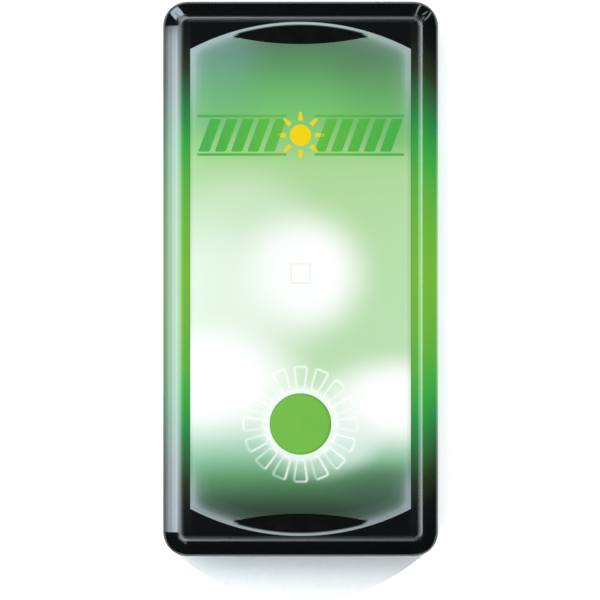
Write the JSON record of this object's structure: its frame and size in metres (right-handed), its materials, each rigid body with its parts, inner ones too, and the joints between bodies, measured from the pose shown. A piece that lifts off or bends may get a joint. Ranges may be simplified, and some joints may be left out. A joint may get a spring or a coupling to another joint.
{
  "type": "adhesive marker light",
  "caption": "Flat sealed marker light with a bevelled black frame, a long glowing window with arched ends, a round push button in a ring of fins, and a peel-off adhesive back.",
  "frame": {"origin": "centre of the back face of the release liner under the case", "axes": "+X across the width, +Y along the length away from the push button, +Z out of the front face"},
  "size_m": [0.0254, 0.0557, 0.0071],
  "materials": {
    "release_paper": "smooth",
    "foam": "matt",
    "black_case": "polished",
    "seal_silicone": "matt",
    "lit_lens": "frosted",
    "mask_black": "matt",
    "button_green": "matt",
    "boot_silicone": "matt",
    "board_green": "satin",
    "tray_white": "satin",
    "plated_metal": "satin",
    "led_die": "polished",
    "led_white": "matt",
    "led_clear": "polished",
    "switch_black": "matt",
    "spring_steel": "brushed",
    "chip_black": "matt",
    "chip_ceramic": "matt",
    "capacitor_ceramic": "matt",
    "cell_steel": "brushed",
    "grommet_plastic": "matt",
    "cell_pellets": "matt",
    "film_amber": "satin"
  },
  "bodies": {
    "housing": {"foam_pad": "foam", "rear_housing": "black_case", "front_bezel": "black_case", "perimeter_seal": "seal_silicone", "diffuser_lens": "lit_lens", "upper_end_mask": "mask_black", "lower_end_mask": "mask_black", "button_boot": "boot_silicone", "circuit_board": "board_green", "reflector_tray": "tray_white", "led_pads": "plated_metal", "led_die": "led_die", "led_cup": "led_white", "led_filling": "led_clear", "switch_base": "switch_black", "switch_dome": "spring_steel", "switch_cover": "spring_steel", "switch_terminals": "plated_metal", "flasher_chip": "chip_black", "chip_leads": "plated_metal", "chip_resistors": "chip_ceramic", "chip_capacitor": "capacitor_ceramic", "plated_ends": "plated_metal", "upper_cell_can": "cell_steel", "upper_cell_grommet": "grommet_plastic", "upper_cell_cap": "cell_steel", "upper_cell_pellets": "cell_pellets", "lower_cell_can": "cell_steel", "lower_cell_grommet": "grommet_plastic", "lower_cell_cap": "cell_steel", "lower_cell_pellets": "cell_pellets", "cell_link": "plated_metal", "upper_contact": "spring_steel", "lower_contact": "spring_steel", "insulating_film": "film_amber"},
    "button": {"button_cap": "button_green"},
    "plunger": {"switch_plunger": "switch_black"},
    "liner": {"release_liner": "release_paper"}
  },
  "joints": [
    {"name": "button_press", "type": "slide", "parent": "housing", "child": "button", "axis": [0, 0, -1], "range_m": [0, 0.00025], "stiffness_N_per_m": 4000, "deforming": ["button_boot"]},
    {"name": "plunger_press", "type": "slide", "parent": "housing", "child": "plunger", "axis": [0, 0, -1], "range_m": [0, 0.00025], "deforming": ["switch_dome"]},
    {"name": "liner_pull", "type": "slide", "parent": "housing", "child": "liner", "axis": [0, -1, 0], "range_m": [0, 0.056]}
  ],
  "couplings": [
    {"joint": "plunger_press", "follows": "button_press", "ratio": 1}
  ]
}
